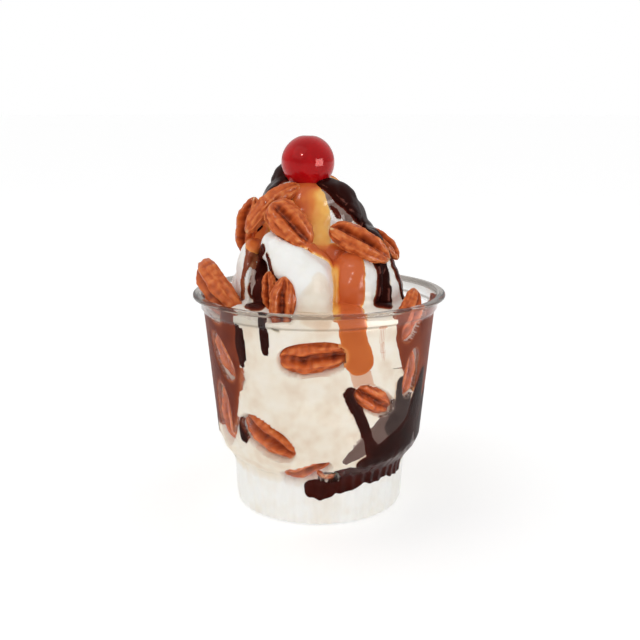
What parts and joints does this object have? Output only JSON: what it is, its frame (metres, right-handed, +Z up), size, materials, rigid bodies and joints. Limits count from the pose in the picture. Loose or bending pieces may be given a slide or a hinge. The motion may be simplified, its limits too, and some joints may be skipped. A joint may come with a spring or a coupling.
{
  "type": "ice cream sundae",
  "caption": "Frozen custard sundae in a clear plastic cup with a fluted foot, layered with fudge and pecans, topped with caramel and a cherry.",
  "frame": {"origin": "centre of the cup's underside, on the surface that it stands on", "axes": "+Z up through the cherry, -Y to the side that the picture shows, +X to the right in the picture"},
  "size_m": [0.092, 0.092, 0.1346],
  "materials": {
    "cup": "clear, glossy",
    "custard": "satin, creamy",
    "fudge": "glossy sauce",
    "cherry": "glossy, syrupy",
    "pecan": "roasted, slightly oily"
  },
  "bodies": {
    "root": {"cup": "cup", "custard_base": "custard", "custard_middle": "custard", "custard_top": "custard", "fudge_layer": "fudge", "cherry": "cherry", "pecan_top_left": "pecan", "pecan_behind_left": "pecan", "pecan_under_cherry": "pecan", "pecan_upper_right": "pecan", "pecan_behind_right": "pecan", "pecan_front": "pecan", "pecan_front_fudged": "pecan", "pecan_in_fudge": "pecan", "pecan_back_top": "pecan", "pecan_back_right": "pecan", "pecan_back_left": "pecan", "pecan_on_left_rim": "pecan", "pecan_right_rim": "pecan", "pecan_wall_left_top": "pecan", "pecan_wall_left": "pecan", "pecan_wall_front": "pecan", "pecan_wall_right": "pecan", "pecan_wall_low_right": "pecan", "pecan_wall_low_left": "pecan", "pecan_on_shoulder": "pecan", "pecan_wall_back_right": "pecan", "pecan_wall_back_left": "pecan"}
  },
  "joints": []
}
